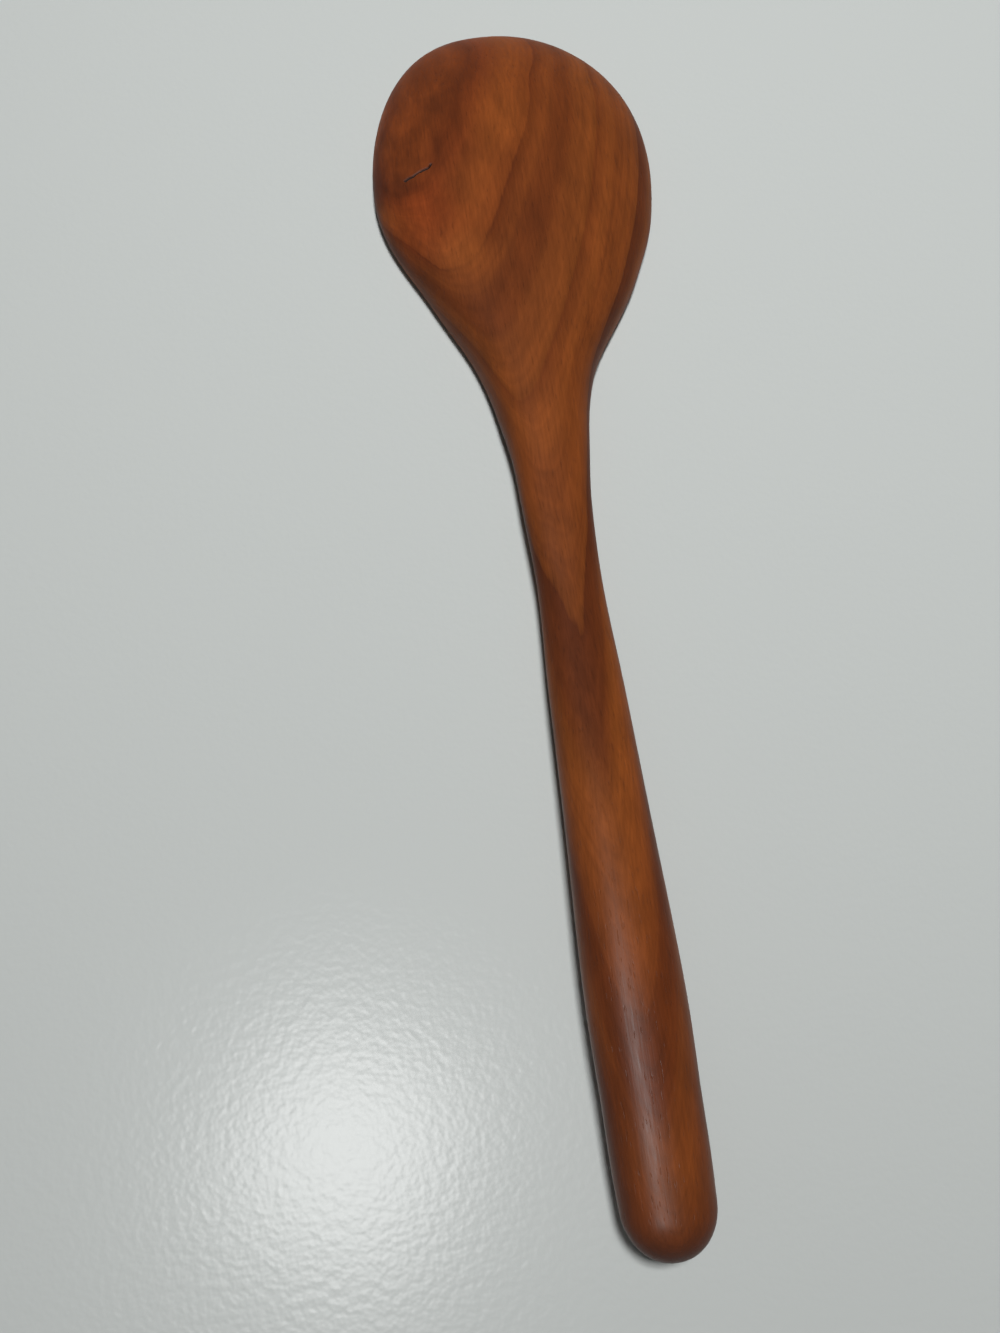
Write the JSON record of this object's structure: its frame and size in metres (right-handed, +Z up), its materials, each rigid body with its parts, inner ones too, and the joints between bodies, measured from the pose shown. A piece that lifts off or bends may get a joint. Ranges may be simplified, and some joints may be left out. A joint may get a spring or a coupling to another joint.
{
  "type": "wooden spoon",
  "caption": "Long-handled wooden cooking spoon carved from solid wood, lying face down, with an egg-shaped bowl, a slim waisted neck and a round, slightly swollen grip.",
  "frame": {"origin": "on the surface that the spoon lies on, in the middle of its length and of its bowl's width", "axes": "+Y from the grip's end to the bowl's tip, +X to the right seen from above, +Z up, away from the surface; the bowl opens towards -Z"},
  "size_m": [0.0716, 0.3, 0.021],
  "materials": {
    "oiled_wood": "oiled, satin, dark reddish brown with a lighter grain"
  },
  "bodies": {
    "root": {"spoon": "oiled_wood"}
  },
  "joints": []
}
